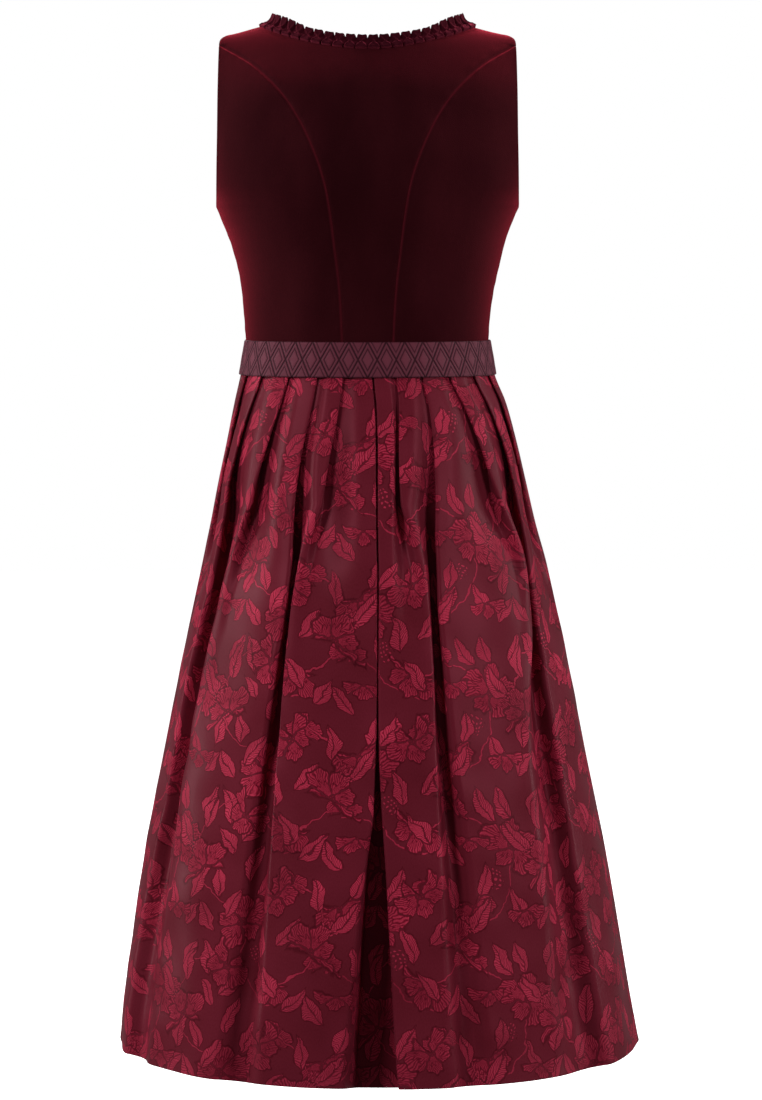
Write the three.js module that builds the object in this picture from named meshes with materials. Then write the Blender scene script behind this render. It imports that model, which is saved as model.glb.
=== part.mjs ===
// A dirndl: sleeveless velvet bodice, gathered neck trim, woven waistband and knife-pleated skirt.
// Millimetres, +Z up. The back of the dress faces +Y and the wearer's left is +X.
// Heights named "up" are measured from the middle of the waistband; the group's own origin lies
// midway between the shoulders, where the dress hangs on its wearer.
import * as THREE from "three";

// Driving dimensions
const WAIST_BELOW_SHOULDERS = 360;
const BAND_WIDTH = 38;
const BAND_THICKNESS = 1.5;
const VELVET = 1.5; // wall of the bodice, pile and backing together
const JACQUARD = 1.0; // wall of the skirt
const RUCHE_WALL = 1.2;
const SEAM_GAP = 0.3;
const ROUNDNESS = 2.1; // exponent of every horizontal section, 2 is an ellipse
const NECK_HALF_WIDTH = 112;
const NECK_BACK_UP = 340.5;
const NECK_FRONT_UP = 238;
const SHOULDER_UP = 364; // neck end of the shoulder seam
const SHOULDER_SLOPE = 0.25;
const SHOULDER_ROUNDING = 90; // height over which the wall turns over the shoulder
const TIP_HALF_WIDTH = 155; // outer end of the shoulder seam
const UNDERARM_UP = 166;
const HEM_UP = -765;
const RUCHE_PITCH = 12.5;
const RUCHE_DEPTH = 2.6; // height of a box wave over the valley beside it
const RUCHE_SHOULDER_RISE = 5; // how much taller the ruche stands where it turns over the shoulder
const RUCHE_RISE_FROM_UP = 348;

const BODICE_BOTTOM_UP = 1;
const SKIRT_TOP_UP = -1;

// Outer half width and half depths of the bodice at each height.
const BODICE = [
  { up: -2, half: 133.3, back: 97, front: 101 },
  { up: 20, half: 134.2, back: 99, front: 104 },
  { up: 46, half: 136.5, back: 103, front: 110 },
  { up: 84, half: 141.5, back: 108, front: 120 },
  { up: 123, half: 151, back: 113, front: 131 },
  { up: 148, half: 160, back: 116, front: 138 },
  { up: 166, half: 167, back: 118, front: 141 },
  { up: 190, half: 178, back: 119, front: 141 },
  { up: 230, half: 186, back: 117, front: 134 },
  { up: 290, half: 190, back: 102, front: 115 },
  { up: 337, half: 188, back: 83, front: 92 },
  { up: 405, half: 186, back: 72, front: 76 },
];

// Back princess seam, from the waist up to the armhole: distance from the centre back.
const PRINCESS_SEAM = [
  { up: -2, out: 27.5 },
  { up: 46, out: 29 },
  { up: 82, out: 31.5 },
  { up: 119, out: 36 },
  { up: 155, out: 40.5 },
  { up: 191, out: 47 },
  { up: 227, out: 59 },
  { up: 262, out: 76 },
  { up: 293, out: 98 },
  { up: 320, out: 127 },
  { up: 342, out: 163 },
];

// Armhole edges of the back and of the front, from the underarm up to the shoulder tip.
const ARMHOLE = [
  { up: 166, back: 167, front: 167 },
  { up: 180, back: 166, front: 165 },
  { up: 210, back: 165, front: 159 },
  { up: 250, back: 164, front: 152 },
  { up: 300, back: 163.5, front: 150 },
  { up: 342, back: 163, front: 152.5 },
  { up: 348, back: 162, front: 154 },
  { up: 351.5, back: 159, front: 154.8 },
  { up: 353.25, back: 155, front: 155 },
];

// Heights of the bodice rows along the side of a panel, and columns as shares of its half width.
const PANEL_ROWS = [BODICE_BOTTOM_UP, 20, 46, 84, 123, 148, 166, 173, 182, 198, 227, 262, 293, 320, 340];
const SHOULDER_ROWS = [347.5, 351.5, 353.25];
const CENTER_COLUMNS = [0, 0.2, 0.4, 0.56, 0.68, 0.745, 0.775, 0.88, 1];
const FRONT_COLUMNS = [0, 0.15, 0.3, 0.45, 0.58, 0.68, 0.745, 0.775, 0.85, 0.92, 0.97, 1];
const SIDE_COLUMNS = [0, 0.25, 0.5, 0.7, 0.85, 0.95, 1];

// Waistband: outer half width and half depths of its upper and lower edge.
const BAND = [
  { up: -19, half: 143.1, back: 107.5, front: 111 },
  { up: 19, half: 136.5, back: 101.5, front: 106.5 },
];

// Skirt: the ring that the pleat edges touch, and how far its middle has drifted sideways.
const SKIRT = [
  { up: -1, half: 136.9, back: 102, front: 106, drift: 0 },
  { up: -22, half: 141.6, back: 105.8, front: 109.2, drift: -0.2 },
  { up: -50, half: 150.6, back: 113, front: 115, drift: -2.8 },
  { up: -95, half: 161.3, back: 124, front: 124, drift: -4.5 },
  { up: -140, half: 171.4, back: 136, front: 133, drift: -5 },
  { up: -185, half: 181, back: 147, front: 143, drift: -6 },
  { up: -230, half: 192, back: 158, front: 153, drift: -7.5 },
  { up: -364, half: 220.6, back: 188, front: 180, drift: -7.8 },
  { up: -454, half: 238.6, back: 208, front: 198, drift: -7.8 },
  { up: -543, half: 256.5, back: 226, front: 216, drift: -8.5 },
  { up: -633, half: 271.6, back: 241, front: 231, drift: -9.5 },
  { up: -722, half: 285.5, back: 253, front: 243, drift: -10.5 },
  { up: -765, half: 291, back: 257, front: 247, drift: -12.5 },
];
const SKIRT_ROWS = [SKIRT_TOP_UP, -22, -60, -105, -155, -205, -265, -350, -450, -600, HEM_UP];

// Where each folded edge runs, as a share of the quarter round from the centre to the side.
// The first edge of each list is one side of the inverted pleat at the centre.
const EDGE_HEIGHTS = [-1, -20, -110, -230, -400, -560, -765];
const BACK_LEFT_EDGES = [
  { kind: "hollow", at: [-0.022, -0.022, -0.016, -0.008, -0.002, 0.018, 0.05] },
  { kind: "soft", at: [0.13, 0.138, 0.205, 0.24, 0.24, 0.24, 0.24] },
  { kind: "deep", at: [0.275, 0.286, 0.345, 0.338, 0.335, 0.343, 0.372] },
  { kind: "soft", at: [0.45, 0.461, 0.55, 0.6, 0.6, 0.6, 0.6] },
  { kind: "deep", at: [0.64, 0.654, 0.765, 0.765, 0.76, 0.785, 0.75] },
  { kind: "soft", at: [0.82, 0.83, 0.9, 0.91, 0.91, 0.91, 0.91] },
];
const BACK_RIGHT_EDGES = [
  { kind: "crisp", at: [0.037, 0.037, 0.029, 0.0175, 0.0125, 0.031, 0.047] },
  { kind: "soft", at: [0.16, 0.163, 0.127, 0.128, 0.12, 0.12, 0.12] },
  { kind: "deep", at: [0.31, 0.312, 0.3, 0.25, 0.222, 0.23, 0.235] },
  { kind: "soft", at: [0.475, 0.481, 0.575, 0.62, 0.46, 0.43, 0.42] },
  { kind: "deep", at: [0.65, 0.659, 0.74, 0.72, 0.64, 0.61, 0.605] },
  { kind: "soft", at: [0.82, 0.83, 0.89, 0.9, 0.9, 0.9, 0.9] },
];
const FRONT_EDGES = [
  { kind: "deep", at: [0.012, 0.012, 0.012, 0.015, 0.02, 0.03, 0.06] },
  { kind: "soft", at: [0.15, 0.155, 0.17, 0.18, 0.18, 0.18, 0.18] },
  { kind: "deep", at: [0.3, 0.305, 0.33, 0.33, 0.32, 0.32, 0.33] },
  { kind: "soft", at: [0.47, 0.475, 0.54, 0.56, 0.56, 0.56, 0.56] },
  { kind: "deep", at: [0.65, 0.655, 0.74, 0.75, 0.74, 0.72, 0.7] },
  { kind: "soft", at: [0.82, 0.83, 0.89, 0.9, 0.9, 0.9, 0.9] },
];

// How a fold stands at each height: turn is the angle the cloth turns back through, under is the
// cloth between its two bends, and bend is the length of each half of a bend.
const FOLDS = {
  deep: [
    { up: -765, turn: 42, under: 8, bend: 5.5 },
    { up: -560, turn: 60, under: 8, bend: 5 },
    { up: -400, turn: 84, under: 9, bend: 4.5 },
    { up: -240, turn: 112, under: 12, bend: 3.2 },
    { up: -170, turn: 138, under: 14, bend: 2.4 },
    { up: -110, turn: 163, under: 13, bend: 1.5 },
    { up: -50, turn: 176, under: 12, bend: 1.15 },
    { up: -1, turn: 178, under: 11, bend: 1.1 },
  ],
  soft: [
    { up: -765, turn: 3, under: 4, bend: 4 },
    { up: -330, turn: 4, under: 4, bend: 4 },
    { up: -240, turn: 30, under: 4, bend: 3.5 },
    { up: -170, turn: 95, under: 7, bend: 2.8 },
    { up: -110, turn: 150, under: 10, bend: 1.7 },
    { up: -50, turn: 174, under: 11, bend: 1.15 },
    { up: -1, turn: 178, under: 11, bend: 1.1 },
  ],
  hollow: [
    { up: -765, turn: 76, under: 37, bend: 4.5 },
    { up: -560, turn: 84, under: 30, bend: 3 },
    { up: -400, turn: 113, under: 20, bend: 1.8 },
    { up: -240, turn: 135, under: 14, bend: 1.6 },
    { up: -170, turn: 148, under: 13, bend: 1.6 },
    { up: -110, turn: 163, under: 13, bend: 1.5 },
    { up: -50, turn: 176, under: 12, bend: 1.15 },
    { up: -1, turn: 178, under: 11, bend: 1.1 },
  ],
  crisp: [
    { up: -765, turn: 100, under: 42, bend: 1.8 },
    { up: -560, turn: 104, under: 33, bend: 1.8 },
    { up: -400, turn: 113, under: 20, bend: 1.8 },
    { up: -240, turn: 135, under: 14, bend: 1.6 },
    { up: -170, turn: 148, under: 13, bend: 1.6 },
    { up: -110, turn: 163, under: 13, bend: 1.5 },
    { up: -50, turn: 176, under: 12, bend: 1.15 },
    { up: -1, turn: 178, under: 11, bend: 1.1 },
  ],
};
const BEND_STEPS = 2; // chords in each bend
const FACE_STEPS = 2; // chords in the slope of each pleat face
const FOLD_CLEARANCE = 1.2; // kept beside a folded edge before a face changes level

const COLOURS = { velvet: 0x4a0a16, trim: 0x46101c, band: 0x5f2d3a, jacquard: 0x7a1c30 };

const clamp = (value, low, high) => Math.min(high, Math.max(low, value));
const mix = (a, b, t) => a + (b - a) * t;
const smooth = (t) => t * t * (3 - 2 * t);
const radians = (degrees) => (degrees * Math.PI) / 180;

// A column of a table at a height, on a smooth curve through its rows.
function column(table, name, up) {
  const rows = [...table].sort((a, b) => a.up - b.up);
  const last = rows.length - 1;
  const i = clamp(rows.findIndex((row) => row.up >= up) - 1, 0, last - 1);
  const k = up >= rows[last].up ? last - 1 : i;
  const slope = (n) => {
    const a = rows[Math.max(n - 1, 0)];
    const b = rows[Math.min(n + 1, last)];
    return (b[name] - a[name]) / (b.up - a.up);
  };
  const span = rows[k + 1].up - rows[k].up;
  const t = clamp((up - rows[k].up) / span, 0, 1);
  const h = smooth(t);
  const rise = (t * t * t - 2 * t * t + t) * slope(k) + (t * t * t - t * t) * slope(k + 1);
  return mix(rows[k][name], rows[k + 1][name], h) + rise * span;
}

// One closed body from a grid of { outer, inner } points: both faces and the rim between them.
// The rows run so that row direction x column direction points out of the cloth.
function wallGeometry(grid, closedRound = false) {
  const rows = grid.length;
  const columns = grid[0].length;
  const positions = [];
  grid.forEach((row) => row.forEach((p) => positions.push(...p.outer.toArray())));
  grid.forEach((row) => row.forEach((p) => positions.push(...p.inner.toArray())));
  const outer = (i, j) => i * columns + (j % columns);
  const inner = (i, j) => rows * columns + outer(i, j);
  const index = [];
  const quad = (a, b, c, d) => index.push(a, b, c, a, c, d);
  const across = closedRound ? columns : columns - 1;
  for (let i = 0; i < rows - 1; i++) {
    for (let j = 0; j < across; j++) {
      quad(outer(i, j), outer(i + 1, j), outer(i + 1, j + 1), outer(i, j + 1));
      quad(inner(i, j), inner(i, j + 1), inner(i + 1, j + 1), inner(i + 1, j));
    }
    if (!closedRound) {
      quad(outer(i, 0), inner(i, 0), inner(i + 1, 0), outer(i + 1, 0));
      const e = columns - 1;
      quad(outer(i, e), outer(i + 1, e), inner(i + 1, e), inner(i, e));
    }
  }
  for (let j = 0; j < across; j++) {
    quad(outer(0, j), outer(0, j + 1), inner(0, j + 1), inner(0, j));
    const e = rows - 1;
    quad(outer(e, j), inner(e, j), inner(e, j + 1), outer(e, j + 1));
  }
  const geometry = new THREE.BufferGeometry();
  geometry.setAttribute("position", new THREE.Float32BufferAttribute(positions, 3));
  geometry.setIndex(index);
  geometry.computeVertexNormals();
  return geometry;
}

// Turns every face round when the body came out inside out.
function facingOut(geometry) {
  const p = geometry.attributes.position;
  const index = geometry.index.array;
  const [a, b, c] = [new THREE.Vector3(), new THREE.Vector3(), new THREE.Vector3()];
  let volume = 0;
  for (let i = 0; i < index.length; i += 3) {
    a.fromBufferAttribute(p, index[i]);
    b.fromBufferAttribute(p, index[i + 1]);
    c.fromBufferAttribute(p, index[i + 2]);
    volume += a.dot(b.cross(c));
  }
  if (volume < 0) {
    for (let i = 0; i < index.length; i += 3) {
      [index[i + 1], index[i + 2]] = [index[i + 2], index[i + 1]];
    }
    geometry.computeVertexNormals();
  }
  return geometry;
}

// ---- Bodice -----------------------------------------------------------------------------------

const shoulderRidge = (x) => SHOULDER_UP - SHOULDER_SLOPE * (Math.abs(x) - NECK_HALF_WIDTH);

// Distance of the bodice's outer surface from the plane through both side seams.
function bodiceDepth(x, up, face) {
  const half = column(BODICE, "half", up);
  const full = column(BODICE, face, up);
  const share = clamp(Math.abs(x) / half, 0, 1);
  const overShoulder = (up - shoulderRidge(x)) / SHOULDER_ROUNDING + 1;
  const cap = Math.sqrt(1 - clamp(overShoulder, 0, 1) ** 2);
  return full * cap * (1 - share ** ROUNDNESS) ** (1 / ROUNDNESS);
}

// Outer point and outward normal of the bodice; face is "back" or "front".
function bodicePoint(x, up, face) {
  const sign = face === "back" ? 1 : -1;
  const step = 0.02;
  const half = column(BODICE, "half", up);
  const inX = Math.sign(x) * Math.min(Math.abs(x), half - 3 * step);
  const inUp = Math.min(up, shoulderRidge(x) - 3 * step);
  const depth = (dx, dUp) => bodiceDepth(inX + dx, inUp + dUp, face);
  const slopeX = (depth(step, 0) - depth(-step, 0)) / (2 * step);
  const slopeUp = (depth(0, step) - depth(0, -step)) / (2 * step);
  const y = Math.max(bodiceDepth(x, up, face), SEAM_GAP / 2);
  return {
    outer: new THREE.Vector3(x, sign * y, up),
    normal: new THREE.Vector3(-slopeX, sign, -slopeUp).normalize(),
  };
}

function bodiceWall(x, up, face) {
  const { outer, normal } = bodicePoint(x, up, face);
  return { outer, inner: outer.clone().addScaledVector(normal, -VELVET) };
}

const backNeckUp = (x) =>
  NECK_BACK_UP + (SHOULDER_UP - NECK_BACK_UP) * (Math.abs(x) / NECK_HALF_WIDTH) ** 1.8;
const frontNeckUp = (x) =>
  NECK_FRONT_UP + (SHOULDER_UP - NECK_FRONT_UP) * (Math.abs(x) / NECK_HALF_WIDTH) ** 2.8;
const neckUp = { back: backNeckUp, front: frontNeckUp };

// Upper edge of a bodice panel: the neckline, then the shoulder seam.
const topEdgeUp = (x, face) =>
  Math.abs(x) < NECK_HALF_WIDTH ? neckUp[face](x) : shoulderRidge(x);

// Side edge of the back's middle panel: the princess seam, then the armhole to the shoulder tip.
function centerPanelEdge(up) {
  const seam = up <= 341;
  const x = seam ? column(PRINCESS_SEAM, "out", up) : column(ARMHOLE, "back", up);
  if (!seam) return { x, up };
  const lean = (column(PRINCESS_SEAM, "out", up + 1) - column(PRINCESS_SEAM, "out", up - 1)) / 2;
  const across = new THREE.Vector2(1, -lean).normalize().multiplyScalar(SEAM_GAP / 2);
  return { x: x - across.x, up: up - across.y, seamX: x + across.x, seamUp: up + across.y };
}

function backCenter() {
  const shares = [...CENTER_COLUMNS.slice(1).reverse().map((s) => -s), ...CENTER_COLUMNS];
  const grid = [...PANEL_ROWS, ...SHOULDER_ROWS].map((rowUp, i) => {
    const edge = centerPanelEdge(rowUp);
    const bottom = BODICE_BOTTOM_UP;
    const rise = i === 0 ? 0 : (edge.up - bottom) / (shoulderRidge(TIP_HALF_WIDTH) - bottom);
    return shares.map((share) => {
      const top = topEdgeUp(share * TIP_HALF_WIDTH, "back");
      return bodiceWall(share * edge.x, mix(bottom, top, Math.min(rise, 1)), "back");
    });
  });
  return wallGeometry(grid);
}

function backSide(side) {
  const grid = PANEL_ROWS.map((rowUp, i) => {
    const seam = centerPanelEdge(rowUp);
    const seamUp = i === 0 ? rowUp : seam.seamUp;
    const half = column(BODICE, "half", rowUp);
    const edgeX = rowUp <= UNDERARM_UP ? half : column(ARMHOLE, "back", rowUp);
    const from = Math.asin(clamp(seam.seamX / half, 0, 1));
    const to = Math.asin(clamp(edgeX / half, 0, 1));
    return SIDE_COLUMNS.map((share) => {
      const x = side * half * Math.sin(mix(from, to, share));
      return bodiceWall(x, mix(seamUp, rowUp, share), "back");
    });
  });
  return wallGeometry(grid);
}

function frontPanel(side) {
  const tipUp = shoulderRidge(TIP_HALF_WIDTH);
  const grid = [...PANEL_ROWS, ...SHOULDER_ROWS].map((rowUp) => {
    const below = rowUp <= UNDERARM_UP;
    const edgeX = below ? column(BODICE, "half", rowUp) : column(ARMHOLE, "front", rowUp);
    const rise = Math.min((rowUp - BODICE_BOTTOM_UP) / (tipUp - BODICE_BOTTOM_UP), 1);
    return FRONT_COLUMNS.map((share) => {
      const x = side * mix(SEAM_GAP / 2, edgeX, share);
      const top = topEdgeUp(share * TIP_HALF_WIDTH, "front");
      return bodiceWall(x, mix(BODICE_BOTTOM_UP, top, rise), "front");
    });
  });
  return wallGeometry(grid);
}

// ---- Neck trim --------------------------------------------------------------------------------

// The neck edge from the centre front over one shoulder, round the back and over the other.
function neckPath() {
  const samples = 160;
  const quarter = (side, face) =>
    Array.from({ length: samples + 1 }, (_, i) => {
      const x = side * Math.max(NECK_HALF_WIDTH * Math.sin((i / samples) * (Math.PI / 2)), SEAM_GAP);
      return { x, up: neckUp[face](x), face };
    });
  return [
    ...quarter(1, "front"),
    ...quarter(1, "back").reverse(),
    ...quarter(-1, "back").slice(1),
    ...quarter(-1, "front").reverse(),
  ].map((p) => ({ ...bodicePoint(p.x, p.up, p.face) }));
}

// Stations at equal distances along the neck edge.
function neckStations(count) {
  const path = neckPath();
  const lengths = [0];
  for (let i = 1; i < path.length; i++) {
    lengths.push(lengths[i - 1] + path[i].outer.distanceTo(path[i - 1].outer));
  }
  const total = lengths[lengths.length - 1];
  return Array.from({ length: count + 1 }, (_, n) => {
    const want = (total * n) / count;
    const k = clamp(lengths.findIndex((length) => length >= want), 1, path.length - 1);
    const t = (want - lengths[k - 1]) / Math.max(lengths[k] - lengths[k - 1], 1e-9);
    const outer = path[k - 1].outer.clone().lerp(path[k].outer, t);
    const normal = path[k - 1].normal.clone().lerp(path[k].normal, t).normalize();
    const along = path[k].outer.clone().sub(path[k - 1].outer).normalize();
    return { outer, normal, along, total };
  });
}

// Rows across the trim: distance past the neck edge, share of the wave's height, upward bend.
const RUCHE_ROWS = [
  { past: -7, wave: 0.9, rise: 0 },
  { past: 0.5, wave: 0.65, rise: 0 },
  { past: 8.5, wave: 1, rise: 1 },
];
const RUCHE_BOX = [0, 1, 1]; // one wave: its valley, then both corners of its box

function neckRuche() {
  const total = neckStations(1)[0].total;
  const waves = Math.round(total / RUCHE_PITCH);
  const stations = neckStations(waves * RUCHE_BOX.length);
  const grid = RUCHE_ROWS.map((row) =>
    stations.map((station, n) => {
      const box = RUCHE_BOX[n % RUCHE_BOX.length];
      const into = new THREE.Vector3().crossVectors(station.normal, station.along).normalize();
      const upward = into.clone().addScaledVector(new THREE.Vector3(0, 0, 1), row.rise);
      const turned = clamp((station.outer.z - RUCHE_RISE_FROM_UP) / 10, 0, 1);
      const taller = row.rise ? RUCHE_SHOULDER_RISE * smooth(turned) : 0;
      const reach = row.past + taller - (row.rise && !box ? 1.8 : 0);
      const offset = into.clone().multiplyScalar(Math.min(reach, 0));
      offset.addScaledVector(upward.normalize(), Math.max(reach, 0));
      const lift = 2 * SEAM_GAP + RUCHE_DEPTH * row.wave * box;
      const inner = station.outer.clone().add(offset).addScaledVector(station.normal, lift);
      return { outer: inner.clone().addScaledVector(station.normal, RUCHE_WALL), inner };
    }),
  );
  return wallGeometry(grid);
}

// ---- Rings: waistband and skirt ---------------------------------------------------------------

// A quarter of a ring, walked by distance from the centre of its back or front.
function quarterRing(half, depth) {
  const samples = 240;
  const power = 2 / ROUNDNESS;
  const points = Array.from({ length: samples + 1 }, (_, i) => {
    const angle = (i / samples) * (Math.PI / 2);
    return [half * Math.sin(angle) ** power, depth * Math.cos(angle) ** power];
  });
  points[samples][1] = 0;
  const lengths = [0];
  for (let i = 1; i <= samples; i++) {
    const dx = points[i][0] - points[i - 1][0];
    const dy = points[i][1] - points[i - 1][1];
    lengths.push(lengths[i - 1] + Math.hypot(dx, dy));
  }
  return { half, depth, points, lengths, length: lengths[samples] };
}

// The point at a signed distance round the ring, moved out of it by level.
function ringPoint(ring, distance, level, face, drift, up) {
  const side = Math.sign(distance) || 1;
  const want = Math.min(Math.abs(distance), ring.length);
  const k = clamp(ring.lengths.findIndex((length) => length >= want), 1, ring.lengths.length - 1);
  const t = (want - ring.lengths[k - 1]) / (ring.lengths[k] - ring.lengths[k - 1]);
  const x = mix(ring.points[k - 1][0], ring.points[k][0], t);
  const y = mix(ring.points[k - 1][1], ring.points[k][1], t);
  const nx = (x / ring.half) ** (ROUNDNESS - 1) / ring.half;
  const ny = (y / ring.depth) ** (ROUNDNESS - 1) / ring.depth;
  const n = Math.hypot(nx, ny);
  const faceSign = face === "back" ? 1 : -1;
  return new THREE.Vector3(
    drift + side * (x + (nx / n) * level),
    faceSign * (y + (ny / n) * level),
    up,
  );
}

function waistband() {
  const steps = 16; // in each quarter
  const grid = [-BAND_WIDTH / 2, 0, BAND_WIDTH / 2].map((up) => {
    const half = column(BAND, "half", up);
    const around = ["back", "front"].flatMap((face) => {
      const ring = quarterRing(half, column(BAND, face, up));
      const shares = Array.from({ length: 2 * steps }, (_, i) => i / steps - 1);
      const from = face === "back" ? 1 : -1;
      return shares.map((share) => {
        const distance = -from * share * ring.length;
        const at = (level) => ringPoint(ring, distance, level, face, 0, up);
        return { outer: at(0), inner: at(-BAND_THICKNESS) };
      });
    });
    return around;
  });
  return wallGeometry(grid, true);
}

// ---- Skirt ------------------------------------------------------------------------------------

const edgeShare = (edge, up) =>
  column(EDGE_HEIGHTS.map((height, i) => ({ up: height, share: edge.at[i] })), "share", up);

// One fold, walked outwards from where the lower layer starts to bend up to the top of its edge.
function foldPath(kind, up) {
  const turn = radians(column(FOLDS[kind], "turn", up));
  const under = column(FOLDS[kind], "under", up);
  const bend = column(FOLDS[kind], "bend", up);
  const chord = (2 * bend) / BEND_STEPS;
  const headings = [];
  for (let k = 0; k < BEND_STEPS; k++) headings.push([(turn * (k + 0.5)) / BEND_STEPS, chord]);
  headings.push([turn, under]);
  for (let k = BEND_STEPS - 1; k >= 0; k--) headings.push([(turn * (k + 0.5)) / BEND_STEPS, chord]);
  const points = [{ s: 0, h: 0 }];
  headings.forEach(([heading, length]) => {
    const last = points[points.length - 1];
    const ahead = length * Math.cos(heading);
    const rise = length * Math.sin(heading);
    points.push({ s: last.s + ahead, h: last.h + rise });
  });
  const end = points[points.length - 1];
  const edge = Math.min(...points.map((p) => p.s));
  // Local places: the folded edge at s = 0 and the pleat's face at h = 0.
  const placed = points.map((p) => ({ s: p.s - (turn > Math.PI / 2 ? edge : 0), h: p.h - end.h }));
  return { points: placed, depth: end.h };
}

// The middle of the cloth wall at one height, from the centre out to the side seam.
function pleatProfile(ring, edges, start, up) {
  const centre = foldPath(edges[0].kind, up);
  const path = [{ s: start, h: -centre.depth }];
  let flatUntil = start;
  edges.forEach((edge, n) => {
    const fold = foldPath(edge.kind, up);
    const at = edgeShare(edge, up) * ring.length;
    const valley = { s: at + fold.points[0].s, h: -fold.depth };
    if (n > 0) {
      const from = path[path.length - 1];
      const low = Math.min(at - FOLD_CLEARANCE - JACQUARD, valley.s);
      const high = clamp(flatUntil, from.s + 0.5, low - 2);
      path.push({ s: high, h: from.h });
      for (let k = 1; k < FACE_STEPS; k++) {
        const t = k / FACE_STEPS;
        path.push({ s: mix(high, low, t), h: mix(from.h, valley.h, smooth(t)) });
      }
      path.push({ s: Math.min(low, valley.s - 0.6), h: valley.h });
    }
    fold.points.forEach((p) => path.push({ s: at + p.s, h: p.h }));
    const reach = Math.max(...fold.points.map((p) => p.s));
    flatUntil = at + reach + JACQUARD + FOLD_CLEARANCE;
  });
  const side = ring.length - SEAM_GAP / 2;
  const last = path[path.length - 1];
  path.push({ s: mix(last.s, side, 0.5), h: last.h });
  path.push({ s: side, h: last.h });
  return path;
}

// Both faces of the wall along a path, offset across it, mitred at its bends.
function offsetPath(path) {
  return path.map((p, i) => {
    const before = path[Math.max(i - 1, 0)];
    const after = path[Math.min(i + 1, path.length - 1)];
    const a = new THREE.Vector2(p.s - before.s, p.h - before.h);
    const b = new THREE.Vector2(after.s - p.s, after.h - p.h);
    if (i === 0) a.set(1, 0);
    if (i === path.length - 1) b.set(1, 0);
    a.normalize();
    b.normalize();
    const along = a.clone().add(b).normalize();
    const mitre = Math.min(1 / Math.max(along.dot(a), 0.5), 1.42);
    const reach = (JACQUARD / 2) * mitre;
    const across = new THREE.Vector2(-along.y, along.x).multiplyScalar(reach);
    return { s: p.s, h: p.h - JACQUARD / 2, ds: across.x, dh: across.y };
  });
}

function skirtPanel(face, leftEdges, rightEdges) {
  const grid = SKIRT_ROWS.map((up) => {
    const ring = quarterRing(column(SKIRT, "half", up), column(SKIRT, face, up));
    const drift = column(SKIRT, "drift", up);
    const leftShare = edgeShare(leftEdges[0], up);
    const rightShare = edgeShare(rightEdges[0], up);
    const middle = ((leftShare - rightShare) / 2) * ring.length;
    const place = (side) => (p) => {
      const at = (k) =>
        ringPoint(ring, side * (p.s + k * p.ds), p.h + k * p.dh, face, drift, up);
      return { outer: at(1), inner: at(-1) };
    };
    const left = offsetPath(pleatProfile(ring, leftEdges, middle, up)).map(place(1));
    const right = offsetPath(pleatProfile(ring, rightEdges, -middle, up)).map(place(-1));
    return [...left.reverse(), ...right.slice(1)];
  });
  return wallGeometry(grid);
}

// ---- The dress --------------------------------------------------------------------------------

const dirndl = new THREE.Group();
dirndl.name = "dirndl";
const fromWaist = new THREE.Group();
fromWaist.position.z = -WAIST_BELOW_SHOULDERS;
dirndl.add(fromWaist);

function addPiece(name, geometry, color, roughness) {
  const material = new THREE.MeshStandardMaterial({ color, roughness, metalness: 0 });
  const mesh = new THREE.Mesh(facingOut(geometry), material);
  mesh.name = name;
  fromWaist.add(mesh);
}

addPiece("back_center", backCenter(), COLOURS.velvet, 0.9);
addPiece("back_side_left", backSide(1), COLOURS.velvet, 0.9);
addPiece("back_side_right", backSide(-1), COLOURS.velvet, 0.9);
addPiece("front_left", frontPanel(1), COLOURS.velvet, 0.9);
addPiece("front_right", frontPanel(-1), COLOURS.velvet, 0.9);
addPiece("neck_ruche", neckRuche(), COLOURS.trim, 0.85);
addPiece("waistband", waistband(), COLOURS.band, 0.7);
addPiece("skirt_back", skirtPanel("back", BACK_LEFT_EDGES, BACK_RIGHT_EDGES), COLOURS.jacquard, 0.45);
addPiece("skirt_front", skirtPanel("front", FRONT_EDGES, FRONT_EDGES), COLOURS.jacquard, 0.45);

export default dirndl;
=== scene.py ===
"""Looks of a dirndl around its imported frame: velvet bodice, neck ruche, woven band, jacquard skirt.

The forms repeat the frame's own tables with many more rows and columns. Lengths are in
millimetres until a mesh is made. Heights named "up" are measured from the middle of the
waistband. The back of the dress faces +Y and the wearer's left is +X.
"""

import math

import bpy
import numpy as np
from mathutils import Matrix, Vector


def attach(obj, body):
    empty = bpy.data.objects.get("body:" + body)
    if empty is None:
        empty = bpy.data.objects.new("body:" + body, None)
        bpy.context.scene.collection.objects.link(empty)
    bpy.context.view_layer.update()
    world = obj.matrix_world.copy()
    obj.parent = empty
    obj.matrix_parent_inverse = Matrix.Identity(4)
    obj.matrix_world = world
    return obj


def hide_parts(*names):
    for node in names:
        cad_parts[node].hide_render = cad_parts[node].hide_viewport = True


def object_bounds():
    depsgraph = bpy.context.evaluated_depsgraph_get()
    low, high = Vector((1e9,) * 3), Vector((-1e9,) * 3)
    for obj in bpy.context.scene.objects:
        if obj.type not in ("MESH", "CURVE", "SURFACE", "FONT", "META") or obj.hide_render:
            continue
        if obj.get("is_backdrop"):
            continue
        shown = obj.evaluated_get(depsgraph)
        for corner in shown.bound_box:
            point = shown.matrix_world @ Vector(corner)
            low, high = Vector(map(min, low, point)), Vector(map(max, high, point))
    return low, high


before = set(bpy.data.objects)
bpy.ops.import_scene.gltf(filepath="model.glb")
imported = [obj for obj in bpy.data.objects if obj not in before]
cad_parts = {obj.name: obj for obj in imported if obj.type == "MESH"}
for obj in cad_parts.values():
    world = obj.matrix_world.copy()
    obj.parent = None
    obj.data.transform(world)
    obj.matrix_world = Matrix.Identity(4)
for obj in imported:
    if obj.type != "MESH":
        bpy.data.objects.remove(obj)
cad_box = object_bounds()

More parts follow.
